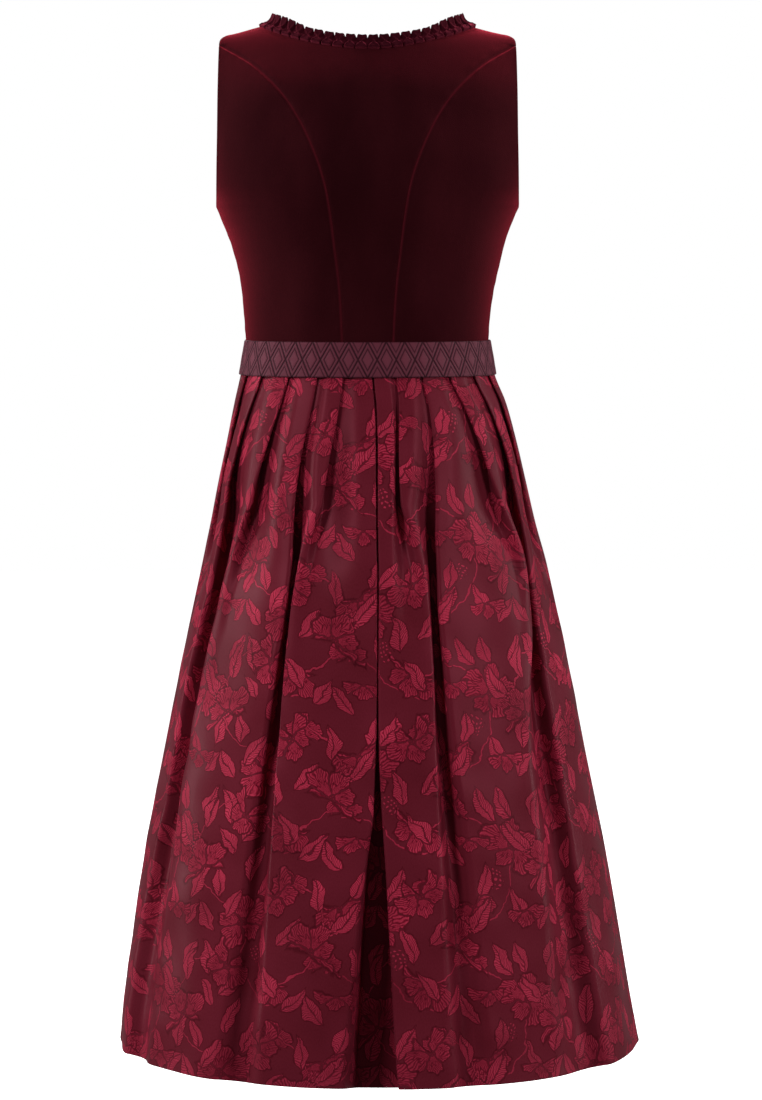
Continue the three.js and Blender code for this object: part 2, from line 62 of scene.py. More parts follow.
MM = 0.001
WAIST_Z = -360.0
BAND_WIDTH, BAND_THICKNESS = 38.0, 1.5
VELVET, JACQUARD, RUCHE_WALL = 1.5, 1.0, 1.2
SEAM_GAP = 0.3
LAP = 1.5  # how far a side panel runs under the middle one
SEAM_ROLL, SEAM_ROLL_WIDTH = 1.25, 1.9  # how deep a seam draws the velvet in, and how wide
ROUNDNESS = 2.1
NECK_HALF_WIDTH, NECK_BACK_UP, NECK_FRONT_UP = 112.0, 340.5, 238.0
SHOULDER_UP, SHOULDER_SLOPE, SHOULDER_ROUNDING = 364.0, 0.25, 90.0
TIP_HALF_WIDTH, UNDERARM_UP = 155.0, 166.0
SIDE_TOP_UP = 340.8  # the upper end of the side back panels
TIP_START_UP, TIP_END_UP = 341.6, 353.25  # the armhole's edge above them
DART_OUT, DART_LEAN, DART_TOP_UP, DART_FADE_UP = 62, 0.1, 118, 95
FAR = 50.0  # a distance at which a seam or an edge shapes the cloth no more
BODICE_BOTTOM_UP, SKIRT_TOP_UP, HEM_UP = 1.0, -1.0, -765.0
RUCHE_PITCH, RUCHE_DEPTH = 12.5, 2.6
RUCHE_BELOW, RUCHE_ABOVE = 7.0, 8.5  # how far it reaches past the neck edge, down and up
RUCHE_STITCH = 0.48  # where its stitch line runs, as a share of its width from below
RUCHE_SHOULDER_RISE, RUCHE_RISE_FROM_UP = 5.0, 348.0
RUCHE_SEWN_LIFT = -0.3  # its lower back, sewn down, lies just under the velvet's surface
HEM_TURN_UP = 36.0  # height of the tack line over the hem edge
HEM_SAG = 0.2  # how much lower the hem hangs for each millimetre that a layer lies deeper


# ---- Tables ---------------------------------------------------------------------------------


def table(names, *rows):
    """Named columns made from rows of numbers, sorted by the first column."""
    data = np.array(sorted(rows), float)
    return dict(zip(names.split(), data.T))


def column(rows, name, up):
    """A column of a table at a height, on a smooth curve through its rows."""
    ups, values = rows["up"], rows[name]
    slopes = np.empty(len(ups))
    slopes[1:-1] = (values[2:] - values[:-2]) / (ups[2:] - ups[:-2])
    slopes[0] = (values[1] - values[0]) / (ups[1] - ups[0])
    slopes[-1] = (values[-1] - values[-2]) / (ups[-1] - ups[-2])
    k = np.clip(np.searchsorted(ups, up) - 1, 0, len(ups) - 2)
    span = ups[k + 1] - ups[k]
    t = np.clip((up - ups[k]) / span, 0, 1)
    h = smooth(t)
    rise = (t**3 - 2 * t**2 + t) * slopes[k] + (t**3 - t**2) * slopes[k + 1]
    return mix(values[k], values[k + 1], h) + rise * span


def smooth(t):
    return t * t * (3 - 2 * t)


def mix(a, b, t):
    return a + (b - a) * t


def bell(distance, width):
    return np.exp(-((distance / width) ** 2))


BODICE = table(
    "up half back front",
    (-2, 133.3, 97, 101),
    (20, 134.2, 99, 104),
    (46, 136.5, 103, 110),
    (84, 141.5, 108, 120),
    (123, 151, 113, 131),
    (148, 160, 116, 138),
    (166, 167, 118, 141),
    (190, 178, 119, 141),
    (230, 186, 117, 134),
    (290, 190, 102, 115),
    (337, 188, 83, 92),
    (405, 186, 72, 76),
)
PRINCESS_SEAM = table(
    "up out",
    (-2, 27.5),
    (46, 29),
    (82, 31.5),
    (119, 36),
    (155, 40.5),
    (191, 47),
    (227, 59),
    (262, 76),
    (293, 98),
    (320, 127),
    (342, 163),
)
ARMHOLE = table(
    "up back front",
    (166, 167, 167),
    (180, 166, 165),
    (210, 165, 159),
    (250, 164, 152),
    (300, 163.5, 150),
    (342, 163, 152.5),
    (348, 162, 154),
    (351.5, 159, 154.8),
    (353.25, 155, 155),
)
BAND = table("up half back front", (-19, 143.1, 107.5, 111), (19, 136.5, 101.5, 106.5))
SKIRT = table(
    "up half back front drift",
    (-1, 136.9, 102, 106, 0),
    (-22, 141.6, 105.8, 109.2, -0.2),
    (-50, 150.6, 113, 115, -2.8),
    (-95, 161.3, 124, 124, -4.5),
    (-140, 171.4, 136, 133, -5),
    (-185, 181, 147, 143, -6),
    (-230, 192, 158, 153, -7.5),
    (-364, 220.6, 188, 180, -7.8),
    (-454, 238.6, 208, 198, -7.8),
    (-543, 256.5, 226, 216, -8.5),
    (-633, 271.6, 241, 231, -9.5),
    (-722, 285.5, 253, 243, -10.5),
    (-765, 291, 257, 247, -12.5),
)

# Where each folded edge runs at EDGE_HEIGHTS, as a share of the quarter round from the centre.
EDGE_HEIGHTS = (-1, -20, -110, -230, -400, -560, -765)
BACK_LEFT_EDGES = (
    ("hollow", (-0.022, -0.022, -0.016, -0.008, -0.002, 0.018, 0.05)),
    ("soft", (0.13, 0.138, 0.205, 0.24, 0.24, 0.24, 0.24)),
    ("deep", (0.275, 0.286, 0.345, 0.338, 0.335, 0.343, 0.372)),
    ("soft", (0.45, 0.461, 0.55, 0.6, 0.6, 0.6, 0.6)),
    ("deep", (0.64, 0.654, 0.765, 0.765, 0.76, 0.785, 0.75)),
    ("soft", (0.82, 0.83, 0.9, 0.91, 0.91, 0.91, 0.91)),
)
BACK_RIGHT_EDGES = (
    ("crisp", (0.037, 0.037, 0.029, 0.0175, 0.0125, 0.031, 0.047)),
    ("soft", (0.16, 0.163, 0.127, 0.128, 0.12, 0.12, 0.12)),
    ("deep", (0.31, 0.312, 0.3, 0.25, 0.222, 0.23, 0.235)),
    ("soft", (0.475, 0.481, 0.575, 0.62, 0.46, 0.43, 0.42)),
    ("deep", (0.65, 0.659, 0.74, 0.72, 0.64, 0.61, 0.605)),
    ("soft", (0.82, 0.83, 0.89, 0.9, 0.9, 0.9, 0.9)),
)
FRONT_EDGES = (
    ("deep", (0.012, 0.012, 0.012, 0.015, 0.02, 0.03, 0.06)),
    ("soft", (0.15, 0.155, 0.17, 0.18, 0.18, 0.18, 0.18)),
    ("deep", (0.3, 0.305, 0.33, 0.33, 0.32, 0.32, 0.33)),
    ("soft", (0.47, 0.475, 0.54, 0.56, 0.56, 0.56, 0.56)),
    ("deep", (0.65, 0.655, 0.74, 0.75, 0.74, 0.72, 0.7)),
    ("soft", (0.82, 0.83, 0.89, 0.9, 0.9, 0.9, 0.9)),
)
FOLD = "up turn under bend"
CENTRE_FOLD_TOP = (
    (-400, 113, 20, 1.8),
    (-240, 135, 14, 1.6),
    (-170, 148, 13, 1.6),
    (-110, 163, 13, 1.5),
    (-50, 176, 12, 1.15),
    (-1, 178, 11, 1.1),
)
FOLDS = {
    "deep": table(
        FOLD,
        (-765, 42, 8, 5.5),
        (-560, 60, 8, 5),
        (-400, 84, 9, 4.5),
        (-240, 112, 12, 3.2),
        (-170, 138, 14, 2.4),
        (-110, 163, 13, 1.5),
        (-50, 176, 12, 1.15),
        (-1, 178, 11, 1.1),
    ),
    "soft": table(
        FOLD,
        (-765, 3, 4, 4),
        (-330, 4, 4, 4),
        (-240, 30, 4, 3.5),
        (-170, 95, 7, 2.8),
        (-110, 150, 10, 1.7),
        (-50, 174, 11, 1.15),
        (-1, 178, 11, 1.1),
    ),
    "hollow": table(FOLD, (-765, 76, 37, 4.5), (-560, 84, 30, 3), *CENTRE_FOLD_TOP),
    "crisp": table(FOLD, (-765, 100, 42, 1.8), (-560, 104, 33, 1.8), *CENTRE_FOLD_TOP),
}
FOLD_CLEARANCE = 1.2


# ---- Meshes ---------------------------------------------------------------------------------

SHARP_FROM = 42  # degrees between faces


def new_object(name, data):
    thing = bpy.data.objects.new(name, data)
    bpy.context.scene.collection.objects.link(thing)
    return thing


def cloth_wall(name, outer, inner, uv, materials, closed=False):
    """One closed piece from grids of outer and inner points, with the rims between them.

    uv has one column more than a closed grid, so that a pattern runs on over the join.
    """
    rows, columns = outer.shape[:2]
    across = columns if closed else columns - 1
    points = np.concatenate([outer.reshape(-1, 3), inner.reshape(-1, 3)])
    points = (points + (0, 0, WAIST_Z)) * MM
    i, j = np.mgrid[0 : rows - 1, 0:across]
    ends = np.arange(across)
    sides = np.arange(rows - 1)
    last = rows - 1

    def corner(layer, row, col):
        vertex = layer * rows * columns + row * columns + col % columns
        places = np.broadcast_arrays(vertex, row, col)
        return np.stack([place.ravel() for place in places], -1)

    def quads(*corners):
        return np.stack([corner(*c) for c in corners], 1)

    parts = [
        quads((0, i, j), (0, i + 1, j), (0, i + 1, j + 1), (0, i, j + 1)),
        quads((1, i, j), (1, i, j + 1), (1, i + 1, j + 1), (1, i + 1, j)),
        quads((0, 0, ends), (0, 0, ends + 1), (1, 0, ends + 1), (1, 0, ends)),
        quads((0, last, ends), (1, last, ends), (1, last, ends + 1), (0, last, ends + 1)),
    ]
    if not closed:
        e = columns - 1
        parts.append(quads((0, sides, 0), (1, sides, 0), (1, sides + 1, 0), (0, sides + 1, 0)))
        parts.append(quads((0, sides, e), (0, sides + 1, e), (1, sides + 1, e), (1, sides, e)))
    inside = np.concatenate([np.full(len(p), k == 1) for k, p in enumerate(parts)])
    corners = np.concatenate(parts)
    a, b, c = (points[corners[:, k, 0]] for k in range(3))
    if np.einsum("ij,ij->", a, np.cross(b, c)) < 0:
        corners = corners[:, ::-1]
    mesh = bpy.data.meshes.new(name)
    mesh.from_pydata(points.tolist(), [], corners[:, :, 0].tolist())
    layer = mesh.uv_layers.new(name="cloth")
    flat = uv[corners[:, :, 1], corners[:, :, 2]] * MM
    layer.data.foreach_set("uv", flat.astype(np.float32).ravel())
    for material in materials:
        mesh.materials.append(material)
    if len(materials) > 1:
        mesh.polygons.foreach_set("material_index", inside.astype(np.int32))
    mesh.shade_smooth()
    mesh.set_sharp_from_angle(angle=math.radians(SHARP_FROM))
    mesh.validate()
    piece = new_object(name, mesh)
    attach(piece, "root")
    return piece


def cloth_uv(points):
    """Distance over the cloth along each row, from its middle column, and height."""
    steps = np.linalg.norm(np.diff(points, axis=1), axis=2)
    run = np.concatenate([np.zeros((len(points), 1)), np.cumsum(steps, axis=1)], axis=1)
    run -= run[:, run.shape[1] // 2, None]
    return np.stack([run, points[..., 2]], -1)


def ripples(x, y, wavelength, seed):
    """Smooth uneven waves between about -1 and 1, the same each run."""
    rng = np.random.default_rng(seed)
    total = 0
    for _ in range(6):
        angle = rng.uniform(0, math.pi)
        k = 2 * math.pi / (wavelength * rng.uniform(0.7, 1.6))
        phase = rng.uniform(0, 2 * math.pi)
        total = total + np.sin(k * (x * math.cos(angle) + y * math.sin(angle)) + phase)
    return total / 3


# ---- Bodice ---------------------------------------------------------------------------------


def shoulder_ridge(x):
    return SHOULDER_UP - SHOULDER_SLOPE * (np.abs(x) - NECK_HALF_WIDTH)


def bodice_depth(x, up, face):
    half, full = column(BODICE, "half", up), column(BODICE, face, up)
    share = np.clip(np.abs(x) / half, 0, 1)
    over = np.clip((up - shoulder_ridge(x)) / SHOULDER_ROUNDING + 1, 0, 1)
    return full * np.sqrt(1 - over**2) * (1 - share**ROUNDNESS) ** (1 / ROUNDNESS)


def bodice_surface(x, up, face):
    """Outer points of the bodice and their outward normals."""
    sign = 1 if face == "back" else -1
    step = 0.02
    half = column(BODICE, "half", up)
    in_x = np.sign(x) * np.minimum(np.abs(x), half - 3 * step)
    in_up = np.minimum(up, shoulder_ridge(x) - 3 * step)

    def depth(dx, d_up):
        return bodice_depth(in_x + dx, in_up + d_up, face)

    slope_x = (depth(step, 0) - depth(-step, 0)) / (2 * step)
    slope_up = (depth(0, step) - depth(0, -step)) / (2 * step)
    y = np.maximum(bodice_depth(x, up, face), SEAM_GAP / 2)
    normal = np.stack([-slope_x, np.full_like(x, sign), -slope_up], -1)
    normal /= np.linalg.norm(normal, axis=-1, keepdims=True)
    return np.stack([x, sign * y, up], -1), normal


def back_neck_up(x):
    return NECK_BACK_UP + (SHOULDER_UP - NECK_BACK_UP) * (np.abs(x) / NECK_HALF_WIDTH) ** 1.8


def front_neck_up(x):
    return NECK_FRONT_UP + (SHOULDER_UP - NECK_FRONT_UP) * (np.abs(x) / NECK_HALF_WIDTH) ** 2.8


NECK_UP = {"back": back_neck_up, "front": front_neck_up}


def top_edge_up(x, face):
    return np.where(np.abs(x) < NECK_HALF_WIDTH, NECK_UP[face](x), shoulder_ridge(x))


def seam_edge(up):
    """How far out a princess seam runs, and the cosine of its lean."""
    out = column(PRINCESS_SEAM, "out", up)
    lean = (column(PRINCESS_SEAM, "out", up + 1) - column(PRINCESS_SEAM, "out", up - 1)) / 2
    return out, 1 / np.hypot(1, lean)


def panel_shape(name, x, up, face, seam_distance, edge_distance):
    """A velvet panel from its grid: rolled in at its seams, plump at its free edges."""
    outer, normal = bodice_surface(x, up, face)
    under = np.clip(-seam_distance, 0, LAP)
    lift = -SEAM_ROLL * bell(np.maximum(seam_distance, 0), SEAM_ROLL_WIDTH) - 0.2 * under
    lift = lift - 0.35 * bell(edge_distance, 0.9) * (under == 0)
    lift = lift + 0.25 * bell(edge_distance - 3.0, 1.8)
    pucker = ripples(outer[..., 2], outer[..., 0], 13, 5) * bell(seam_distance - 3, 5)
    soft = ripples(outer[..., 0] * 1.3, outer[..., 2], 90, 11)
    lift = lift + 0.22 * pucker + 0.7 * soft * (1 - bell(edge_distance, 12))
    surface = outer + normal * lift[..., None]
    depth = np.maximum(VELVET, 0.8 - lift)
    inner = outer - normal * depth[..., None]
    piece = cloth_wall(name, surface, inner, cloth_uv(outer), [velvet, velvet_back])
    # Painted sheen: how near each point lies to a seam, which lightens the velvet's colour there.
    seam_sheen_share = np.tile(bell(np.broadcast_to(seam_distance, x.shape), 1.0).ravel(), 2)
    marks = piece.data.attributes.new("painted_seam_sheen", "FLOAT", "POINT")
    marks.data.foreach_set("value", seam_sheen_share.astype(np.float32))
    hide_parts(name)
    return piece


EVEN = np.linspace(0, 1, 130)
SIDE_ROWS = mix(BODICE_BOTTOM_UP, SIDE_TOP_UP, mix(EVEN, smooth(EVEN), 0.7))  # tight at the ends
TIP_ROWS = np.linspace(TIP_START_UP, TIP_END_UP, 12)
ALL_ROWS = np.concatenate([SIDE_ROWS, TIP_ROWS])


def heights_to_top(shares, face):
    """Heights of a panel's grid, from the waist seam to the neck and shoulder edge."""
    tip_up = shoulder_ridge(TIP_HALF_WIDTH)
    rise = np.clip((ALL_ROWS - BODICE_BOTTOM_UP) / (tip_up - BODICE_BOTTOM_UP), 0, 1)
    top = top_edge_up(shares * TIP_HALF_WIDTH, face)
    return mix(BODICE_BOTTOM_UP, top[None, :], rise[:, None])


def back_center():
    even = np.linspace(-1, 1, 141)
    shares = mix(even, np.sin(even * math.pi / 2), 0.75)
    out, cosine = seam_edge(SIDE_ROWS)
    edge_x = np.concatenate([out, column(ARMHOLE, "back", TIP_ROWS)])
    cosine = np.concatenate([cosine, np.ones(len(TIP_ROWS))])
    x = edge_x[:, None] * shares[None, :]
    from_edge = (1 - np.abs(shares))[None, :] * edge_x[:, None] * cosine[:, None]
    on_seam = (np.arange(len(edge_x)) < len(SIDE_ROWS))[:, None]
    seam = np.where(on_seam, from_edge, FAR)
    free = np.minimum(np.where(on_seam, FAR, from_edge), FAR)
    return panel_shape("back_center", x, heights_to_top(shares, "back"), "back", seam, free)


def back_side(name, side):
    shares = np.linspace(0, 1, 81)
    shares = mix(shares, smooth(shares), 0.6)
    out, cosine = seam_edge(SIDE_ROWS)
    below = SIDE_ROWS <= UNDERARM_UP
    half = column(BODICE, "half", SIDE_ROWS)
    edge = np.where(below, half, column(ARMHOLE, "back", SIDE_ROWS))
    start = np.arcsin(np.clip((out - LAP) / half, 0, 1))
    end = np.arcsin(np.clip(edge / half, 0, 1))
    angle = mix(start[:, None], end[:, None], shares[None, :])
    x = side * half[:, None] * np.sin(angle)
    up = np.repeat(SIDE_ROWS[:, None], len(shares), axis=1)
    width = (end - start) * half
    seam = (shares[None, :] * width[:, None] - LAP) * cosine[:, None]
    outer_edge = (1 - shares)[None, :] * width[:, None]
    seam = np.minimum(seam, np.where(below[:, None], outer_edge, FAR))
    free = np.where(below[:, None], FAR, outer_edge)
    return panel_shape(name, x, up, "back", seam, np.minimum(free, FAR))


def front_panel(name, side):
    shares = np.linspace(0, 1, 121)
    shares = mix(shares, smooth(shares), 0.6)
    below = ALL_ROWS <= UNDERARM_UP
    half = column(BODICE, "half", ALL_ROWS)
    edge = np.where(below, half, column(ARMHOLE, "front", ALL_ROWS))
    lap = LAP if side > 0 else 0.0  # the left front runs under the right one
    x = side * (edge[:, None] * shares[None, :] - lap * (1 - shares[None, :]))
    up = heights_to_top(shares, "front")
    from_side = (1 - shares)[None, :] * edge[:, None]
    from_dart = np.abs(np.abs(x) - (DART_OUT + DART_LEAN * up))
    dart = np.where(up < DART_TOP_UP, from_dart, FAR) + np.clip(up - DART_FADE_UP, 0, 30) * 0.2
    seam = np.minimum(side * x, np.where(below[:, None], from_side, FAR))
    seam = np.minimum(seam, dart)
    free = np.where(below[:, None], FAR, np.minimum(from_side, FAR))
    return panel_shape(name, x, up, "front", seam, free)


# ---- Neck ruche -----------------------------------------------------------------------------


def neck_stations(per_wave):
    """Places at equal distances along the neck edge, with their normals and directions."""
    angles = np.linspace(0, math.pi / 2, 161)

    def quarter(side, face):
        x = side * np.maximum(NECK_HALF_WIDTH * np.sin(angles), SEAM_GAP)
        return bodice_surface(x, NECK_UP[face](x), face)

    pieces = [quarter(1, "front"), quarter(1, "back"), quarter(-1, "back"), quarter(-1, "front")]
    order = [slice(None), slice(None, None, -1), slice(1, None), slice(None, None, -1)]
    path = np.concatenate([p[0][o] for p, o in zip(pieces, order)])
    normals = np.concatenate([p[1][o] for p, o in zip(pieces, order)])
    steps = np.linalg.norm(np.diff(path, axis=0), axis=1)
    keep = np.concatenate([[True], steps > 1e-6])
    path, normals = path[keep], normals[keep]
    run = np.concatenate([[0], np.cumsum(np.linalg.norm(np.diff(path, axis=0), axis=1))])
    waves = int(round(run[-1] / RUCHE_PITCH))
    at = np.linspace(0, run[-1], waves * per_wave + 1)
    point = np.stack([np.interp(at, run, path[:, k]) for k in range(3)], -1)
    normal = np.stack([np.interp(at, run, normals[:, k]) for k in range(3)], -1)
    normal /= np.linalg.norm(normal, axis=1, keepdims=True)
    along = np.gradient(point, axis=0)
    along /= np.linalg.norm(along, axis=1, keepdims=True)
    return point, normal, along, at, waves


def neck_ruche():
    per_wave, across = 16, 17
    point, normal, along, at, waves = neck_stations(per_wave)
    phase = np.arange(len(at)) / per_wave
    lobe = np.minimum(phase.astype(int), waves - 1)
    phase = phase - lobe
    rng = np.random.default_rng(23)
    plump = rng.uniform(0.85, 1.12, waves)[lobe]
    skew = rng.uniform(-1.1, 1.1, waves)[lobe]
    into = np.cross(normal, along)
    into /= np.linalg.norm(into, axis=1, keepdims=True)
    t = np.linspace(0, 1, across)[:, None]  # from the lower edge to the top edge
    past = np.interp(t, (0, RUCHE_STITCH, 1), (-RUCHE_BELOW, 0.5, RUCHE_ABOVE))
    from_stitch = t - RUCHE_STITCH
    pinch = bell(from_stitch, 0.16)
    rise = smooth(np.clip(from_stitch / (1 - RUCHE_STITCH), 0, 1))
    middle = np.abs(phase - 0.5)[None, :]
    half_box = 0.36 - 0.15 * pinch
    box = smooth(np.clip((half_box + 0.13 - middle) / 0.26, 0, 1))
    slant = 0.62 * np.abs(from_stitch) * (RUCHE_BELOW + RUCHE_ABOVE)
    cross = bell(middle * RUCHE_PITCH - slant - 0.4, 0.95)
    wave = np.interp(t, (0, RUCHE_STITCH, 1), (0.9, 0.62, 1.0))
    edge_roll = 0.55 * (bell(t, 0.07) + bell(t - 1, 0.07))
    lift = 0.6 + RUCHE_DEPTH * wave * box * plump[None, :] + 0.75 * cross * box - edge_roll * box
    lift = lift + 0.25 * ripples(at[None, :], past * 1.4, 5.2, 3)
    turned = smooth(np.clip((point[:, 2] - RUCHE_RISE_FROM_UP) / 10, 0, 1))
    past = past + RUCHE_SHOULDER_RISE * turned[None, :] * rise
    notch = -2.6 * rise * bell(middle - 0.5, 0.12) - 0.5 * rise * bell(middle, 0.14)
    reach = past + notch + 1.2 * (1 - rise) * bell(middle - 0.5, 0.12) * bell(t, 0.12)
    spread = -0.085 * RUCHE_PITCH * np.sin(2 * math.pi * phase)[None, :] * (1 - 1.3 * pinch)
    spread = spread + skew[None, :] * from_stitch * box
    upward = into[None] + rise[..., None] * np.array([0, 0, 1.0])
    upward /= np.linalg.norm(upward, axis=-1, keepdims=True)
    offset = np.where(reach[..., None] < 0, into[None], upward) * reach[..., None]
    place = point[None] + offset + along[None] * spread[..., None]
    thick = RUCHE_WALL * (0.55 + 0.45 * np.sin(math.pi * np.clip(t, 0.04, 0.96)))
    outer = place + normal[None] * (lift + thick)[..., None]
    inner = place + normal[None] * mix(RUCHE_SEWN_LIFT, lift, rise)[..., None]
    uv = np.stack([np.broadcast_to(at[None, :], outer.shape[:2]), outer[..., 2]], -1)
    piece = cloth_wall("neck_ruche_velvet", outer, inner, uv, [ruche_velvet])
    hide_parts("neck_ruche")
    return piece


# ---- Rings: waistband and skirt -------------------------------------------------------------


class Ring:
    """A quarter of a ring, walked by distance from the centre of its back or front."""

    def __init__(self, half, depth):
        angle = np.linspace(0, math.pi / 2, 241)
        power = 2 / ROUNDNESS
        self.half, self.depth = half, depth
        self.x = half * np.sin(angle) ** power
        self.y = depth * np.clip(np.cos(angle), 0, 1) ** power
        self.y[-1] = 0
        steps = np.hypot(np.diff(self.x), np.diff(self.y))
        self.runs = np.concatenate([[0], np.cumsum(steps)])
        self.length = self.runs[-1]

    def points(self, distance, level, face, drift, up):
        side = np.where(distance < 0, -1.0, 1.0)
        want = np.minimum(np.abs(distance), self.length)
        x, y = np.interp(want, self.runs, self.x), np.interp(want, self.runs, self.y)
        nx = (x / self.half) ** (ROUNDNESS - 1) / self.half
        ny = (y / self.depth) ** (ROUNDNESS - 1) / self.depth
        size = np.hypot(nx, ny)
        sign = 1 if face == "back" else -1
        px = drift + side * (x + nx / size * level)
        py = sign * (y + ny / size * level)
        return np.stack([px, py, np.broadcast_to(up, px.shape)], -1)


DIAMOND = 20.9  # width of one rhombus of the band's pattern


def diamond_metric(u, v):
    """0 at a rhombus centre, 1 on its outline, up to 2 in the corners between rhombi."""
    x = np.abs(u / DIAMOND % 1 - 0.5) * 2
    return x + np.abs(v) / (BAND_WIDTH / 2) * 0.98


def waistband():
    per_quarter, rows = 210, 42
    outer, inner, uv = [], [], []
    half = column(BAND, "half", 0.0)
    quarter_back, quarter_front = (
        Ring(half, column(BAND, face, 0.0)).length for face in ("back", "front")
    )
    whole = 2 * (quarter_back + quarter_front)
    pitch_fit = round(whole / DIAMOND) * DIAMOND / whole
    shares = np.arange(2 * per_quarter) / per_quarter - 1
    front_u = quarter_back + quarter_front + shares * quarter_front
    u = np.concatenate([shares * quarter_back, front_u])
    u = np.append(u, quarter_back + 2 * quarter_front) * pitch_fit
    for up in np.linspace(-BAND_WIDTH / 2, BAND_WIDTH / 2, rows):
        half = column(BAND, "half", up)
        rings = {face: Ring(half, column(BAND, face, up)) for face in ("back", "front")}
        u_back = -shares * rings["back"].length
        metric = diamond_metric(u[:-1] + DIAMOND / 2, np.full(len(u) - 1, up))
        groove = bell(metric - 1.0, 0.09)
        groove = groove + 0.6 * bell(metric - 0.6, 0.07) + 0.5 * bell(metric - 1.4, 0.07)
        edge = bell(abs(abs(up) - BAND_WIDTH / 2), 0.8)
        lift = -0.32 * groove - 0.5 * edge + 0.15 * (metric < 0.45)
        points = []
        for level in (lift, np.full_like(lift, -BAND_THICKNESS)):
            back = rings["back"].points(u_back, level[: 2 * per_quarter], "back", 0, up)
            front = rings["front"].points(
                shares * rings["front"].length, level[2 * per_quarter :], "front", 0, up
            )
            points.append(np.concatenate([back, front]))
        outer.append(points[0])
        inner.append(points[1])
        uv.append(np.stack([u, np.full_like(u, up)], -1))
    outer, inner, uv = np.array(outer), np.array(inner), np.array(uv)
    piece = cloth_wall("waistband_weave", outer, inner, uv, [band], closed=True)
    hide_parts("waistband")
    return piece


BEND_STEPS, UNDER_STEPS = 6, 3
FLAT_STEPS, SLOPE_STEPS, SIDE_STEPS, CENTRE_STEPS = 6, 9, 6, 3


def edge_share(edge, up):
    return column(table("up share", *zip(EDGE_HEIGHTS, edge[1])), "share", up)


def fold_path(kind, up):
    """One fold from the lower layer up to the top of its edge: distances and heights."""
    turn = math.radians(column(FOLDS[kind], "turn", up))
    under, bend = column(FOLDS[kind], "under", up), column(FOLDS[kind], "bend", up)
    steps = (np.arange(BEND_STEPS) + 0.5) / BEND_STEPS * turn
    chord = np.full(BEND_STEPS, 2 * bend / BEND_STEPS)
    headings = np.concatenate([steps, np.full(UNDER_STEPS, turn), steps[::-1]])
    lengths = np.concatenate([chord, np.full(UNDER_STEPS, under / UNDER_STEPS), chord])
    s = np.concatenate([[0], np.cumsum(lengths * np.cos(headings))])
    h = np.concatenate([[0], np.cumsum(lengths * np.sin(headings))])
    shift = s.min() if turn > math.pi / 2 else 0
    return s - shift, h - h[-1]


def pleat_profile(ring, edges, start, up):
    """The middle of the wall at one height, with the places of each fold's valley and edge."""
    centre_s, centre_h = fold_path(edges[0][0], up)
    first = edge_share(edges[0], up) * ring.length + centre_s[0]
    s = list(np.linspace(start, first, CENTRE_STEPS + 1)[:-1])
    h = [centre_h[0]] * CENTRE_STEPS
    flat_until = start
    marks = []
    for n, edge in enumerate(edges):
        fold_s, fold_h = fold_path(edge[0], up)
        at = edge_share(edge, up) * ring.length
        if n > 0:
            low = min(at - FOLD_CLEARANCE - JACQUARD, at + fold_s[0])
            high = min(max(flat_until, s[-1] + 0.5), low - 2)
            s += list(np.linspace(s[-1], high, FLAT_STEPS + 1)[1:])
            h += [h[-1]] * FLAT_STEPS
            top = h[-1]
            t = np.arange(1, SLOPE_STEPS) / SLOPE_STEPS
            s += list(mix(high, low, t))
            h += list(mix(top, fold_h[0], smooth(t)))
            s.append(min(low, at + fold_s[0] - 0.6))
            h.append(fold_h[0])
        valley = len(s)
        s += list(at + fold_s)
        h += list(fold_h)
        marks.append((valley, len(s) - 1))
        flat_until = at + fold_s.max() + JACQUARD + FOLD_CLEARANCE
    side = ring.length - 0.02
    s += list(np.linspace(s[-1], side, SIDE_STEPS + 1)[1:])
    h += [h[-1]] * SIDE_STEPS
    return np.array(s), np.array(h), marks


def offset_path(s, h, half_thickness):
    """Offsets across the wall, mitred at its bends."""
    ds, dh = np.diff(s), np.diff(h)
    size = np.maximum(np.hypot(ds, dh), 1e-9)
    ds, dh = ds / size, dh / size
    before_s, before_h = np.concatenate([[1], ds]), np.concatenate([[0], dh])
    after_s, after_h = np.concatenate([ds, [1]]), np.concatenate([dh, [0]])
    along_s, along_h = before_s + after_s, before_h + after_h
    size = np.maximum(np.hypot(along_s, along_h), 1e-9)
    along_s, along_h = along_s / size, along_h / size
    mitre = np.minimum(1 / np.maximum(along_s * before_s + along_h * before_h, 0.5), 1.42)
    return -along_h * half_thickness * mitre, along_s * half_thickness * mitre


def cloth_run(s, h, marks, hem_runs, up, edges):
    """Distance along the cloth from the centre: a folded edge stays on its own thread."""
    run = np.concatenate([[0], np.cumsum(np.hypot(np.diff(s), np.diff(h)))])
    if hem_runs is None:
        return run
    u = run.copy()
    for (valley, top), kept, edge in zip(marks, hem_runs, edges):
        held = 1.0
        if edge[0] == "soft":
            held = smooth(np.clip((column(FOLDS["soft"], "turn", up) - 12) / 60, 0, 1))
        target = mix(u[top], kept, held)
        extra = target - u[top]
        share = (run[valley : top + 1] - run[valley]) / max(run[top] - run[valley], 1e-6)
        u[valley : top + 1] += extra * share
        u[top + 1 :] += extra
    return u


SKIRT_ROW_COUNT = 112


